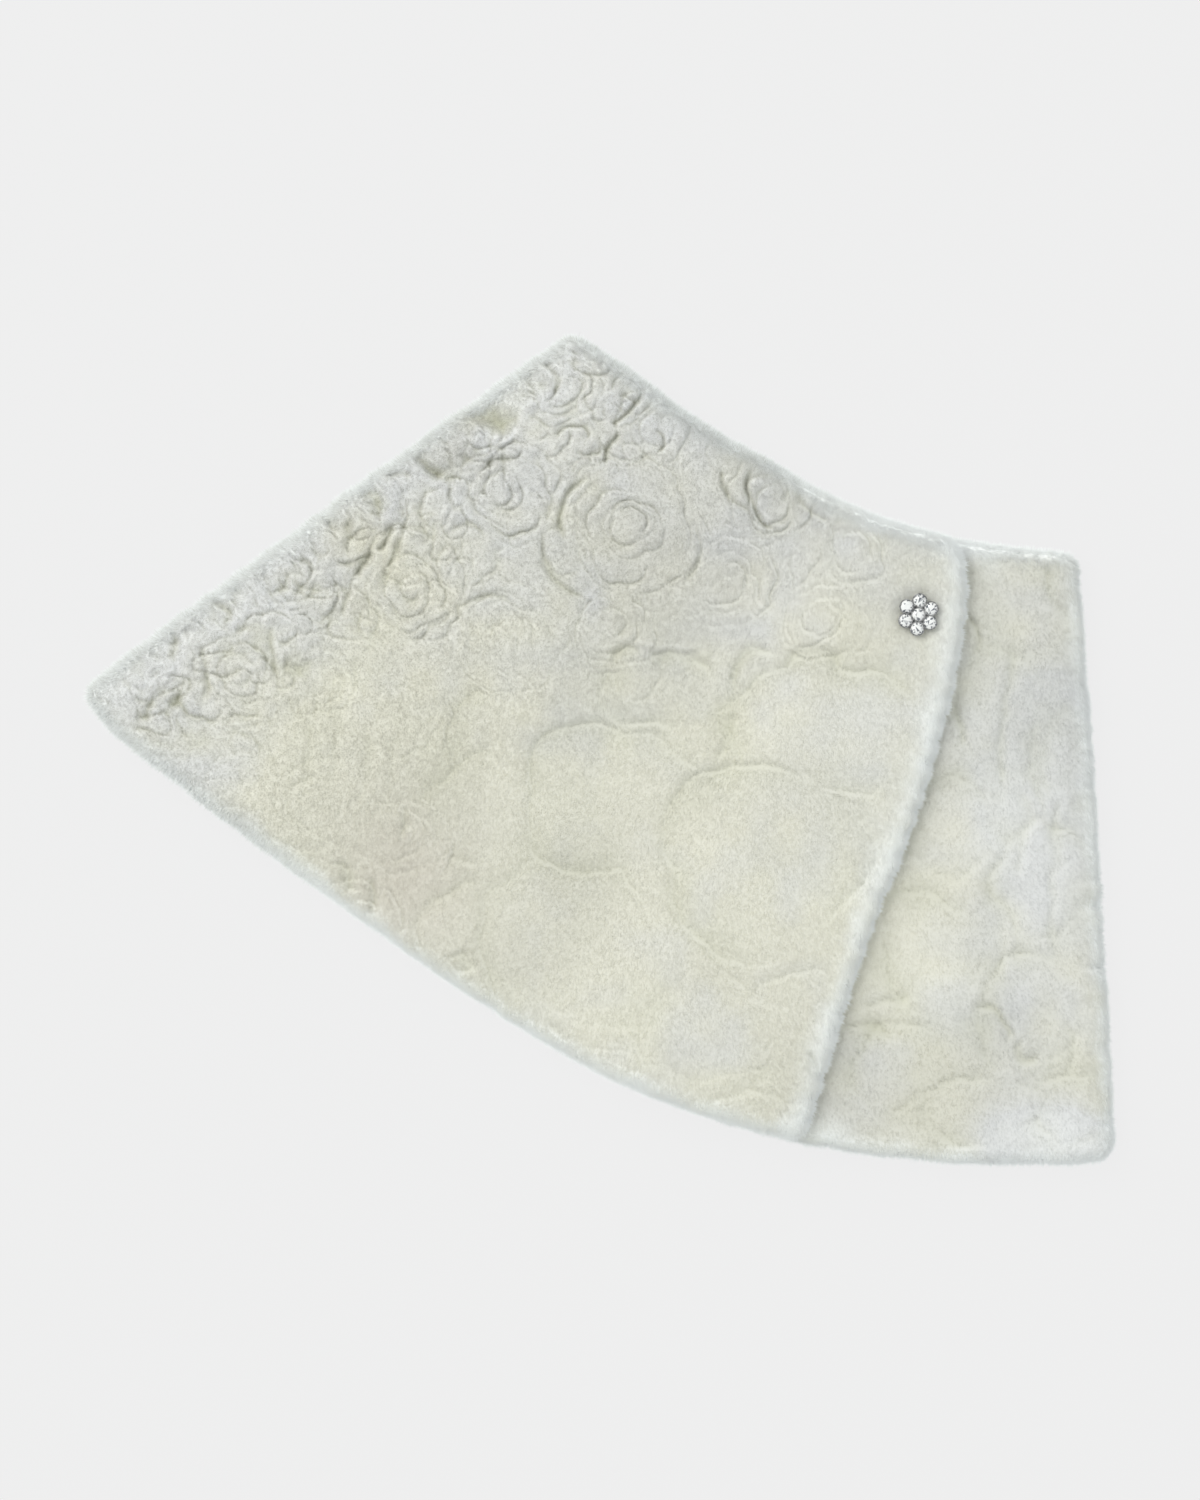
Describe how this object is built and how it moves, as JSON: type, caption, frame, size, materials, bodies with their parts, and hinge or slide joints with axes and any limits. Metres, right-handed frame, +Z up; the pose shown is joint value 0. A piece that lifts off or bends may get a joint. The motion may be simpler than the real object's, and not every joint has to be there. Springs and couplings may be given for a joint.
{
  "type": "capelet",
  "caption": "Closed capelet of ivory rose-embossed plush, laid flat front up, its lapped front fastened by a crystal flower button.",
  "frame": {"origin": "middle of the garment's plan box, on the surface it lies on", "axes": "+Z up from the surface; +X towards the folded side where the under front shows; +Y towards the neck edge"},
  "size_m": [0.4756, 0.3825, 0.0258],
  "materials": {
    "plush": "ivory plush embossed with roses, soft matt pile with a silky sheen",
    "silver": "dark silver plate, satin in the cups",
    "crystal": "clear faceted, foiled behind"
  },
  "bodies": {
    "root": {"upper_front": "plush", "under_front": "plush", "back": "plush", "button_setting": "silver", "stone_0": "crystal", "stone_1": "crystal", "stone_2": "crystal", "stone_3": "crystal", "stone_4": "crystal", "stone_5": "crystal", "stone_6": "crystal"}
  },
  "joints": []
}
